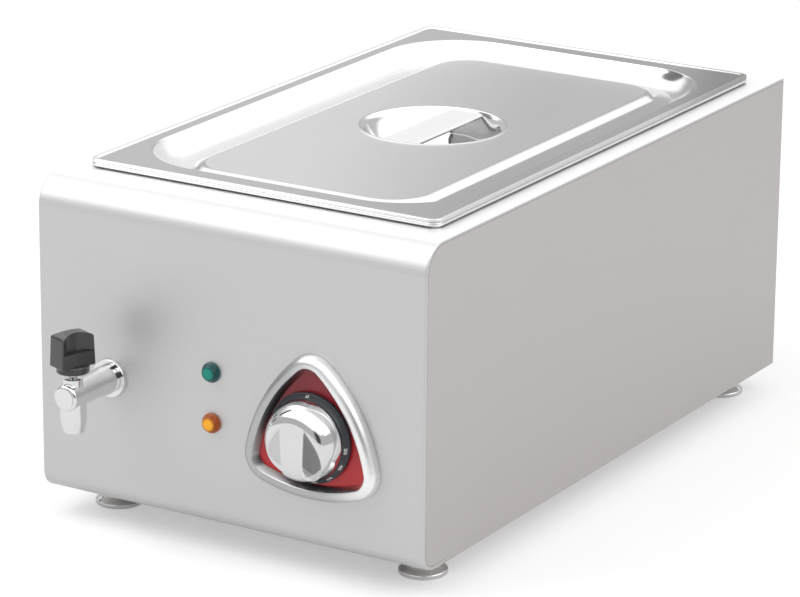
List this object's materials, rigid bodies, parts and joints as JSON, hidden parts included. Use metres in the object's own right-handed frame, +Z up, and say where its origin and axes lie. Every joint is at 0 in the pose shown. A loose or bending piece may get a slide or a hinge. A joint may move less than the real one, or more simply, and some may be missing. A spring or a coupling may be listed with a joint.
{
  "type": "counter-top bain marie",
  "caption": "Counter-top wet bain marie with a gastronorm pan and lid, drain tap, thermostat dial and signal lamps on a bent steel cabinet.",
  "frame": {"origin": "on the floor under the middle of the object's box", "axes": "+X to the right seen from the front, +Y from the front towards the back, +Z up"},
  "size_m": [0.36, 0.6893, 0.2932],
  "materials": {
    "amber_lens": "glossy amber, ribbed inside",
    "black_plastic": "black, lightly textured",
    "blue_lead": "blue insulation",
    "brown_lead": "brown insulation",
    "brushed_steel": "brushed stainless steel sheet",
    "ceramic": "unglazed white",
    "chrome": "polished chrome plating",
    "copper_tube": "bare copper",
    "dial_black": "dark grey, satin",
    "element_sheath": "dull heat-darkened steel sheath",
    "green_lead": "green insulation",
    "green_lens": "glossy green, ribbed inside",
    "phenolic": "moulded black housing",
    "polished_steel": "bright polished stainless steel",
    "red_plate": "glossy dark red",
    "satin_bezel": "satin silver",
    "zinc_plated": "zinc-plated steel"
  },
  "bodies": {
    "cabinet": {"back_panel": "brushed_steel", "base_plate": "brushed_steel", "base_screw_front_left": "zinc_plated", "base_screw_front_right": "zinc_plated", "base_screw_rear_left": "zinc_plated", "base_screw_rear_right": "zinc_plated", "bulb_clip": "zinc_plated", "cable_gland": "black_plastic", "clamp_bar_front": "zinc_plated", "clamp_bar_rear": "zinc_plated", "clamp_nut_front_left": "zinc_plated", "clamp_nut_front_right": "zinc_plated", "clamp_nut_rear_left": "zinc_plated", "clamp_nut_rear_right": "zinc_plated", "control_bezel": "satin_bezel", "control_plate": "red_plate", "drain_pipe": "polished_steel", "foot_front_left": "chrome", "foot_front_right": "chrome", "foot_nut_front_left": "zinc_plated", "foot_nut_front_right": "zinc_plated", "foot_nut_rear_left": "zinc_plated", "foot_nut_rear_right": "zinc_plated", "foot_rear_left": "chrome", "foot_rear_right": "chrome", "front_and_deck": "brushed_steel", "gland_nut": "black_plastic", "heater_element": "element_sheath", "lamp_body_amber": "phenolic", "lamp_body_green": "phenolic", "lamp_lens_amber": "amber_lens", "lamp_lens_green": "green_lens", "lead_earth": "green_lead", "lead_heater": "brown_lead", "lead_live": "brown_lead", "lead_neutral": "blue_lead", "overheat_cutout": "phenolic", "panel_screw_lower": "zinc_plated", "panel_screw_upper": "zinc_plated", "sensor_bulb": "copper_tube", "side_panel_left": "brushed_steel", "side_panel_right": "brushed_steel", "tap_body": "chrome", "tap_end_cap": "chrome", "tap_lock_nut": "zinc_plated", "tap_rosette": "chrome", "terminal_block": "ceramic", "thermostat_body": "phenolic", "water_tank": "polished_steel"},
    "pan": {"gn_pan": "polished_steel"},
    "lid": {"lid": "satin_bezel", "lid_strap": "polished_steel"},
    "dial": {"control_knob": "chrome", "dial_skirt": "dial_black", "thermostat_spindle": "zinc_plated"},
    "tap_valve": {"tap_knob": "black_plastic", "tap_ball": "chrome"}
  },
  "joints": [
    {"name": "pan_lift", "type": "slide", "parent": "cabinet", "child": "pan", "axis": [0, 0, 1], "range_m": [0, 0.2]},
    {"name": "lid_lift", "type": "slide", "parent": "pan", "child": "lid", "axis": [0, 0, 1], "range_m": [0, 0.15]},
    {"name": "thermostat_turn", "type": "hinge", "parent": "cabinet", "child": "dial", "pos_m": [0.0805, -0.27474, 0.118], "axis": [0, 1, 0], "range_deg": [0, 280]},
    {"name": "tap_turn", "type": "hinge", "parent": "cabinet", "child": "tap_valve", "pos_m": [-0.112, -0.32474, 0.13], "axis": [0, 0, 1], "range_deg": [0, 90]}
  ]
}
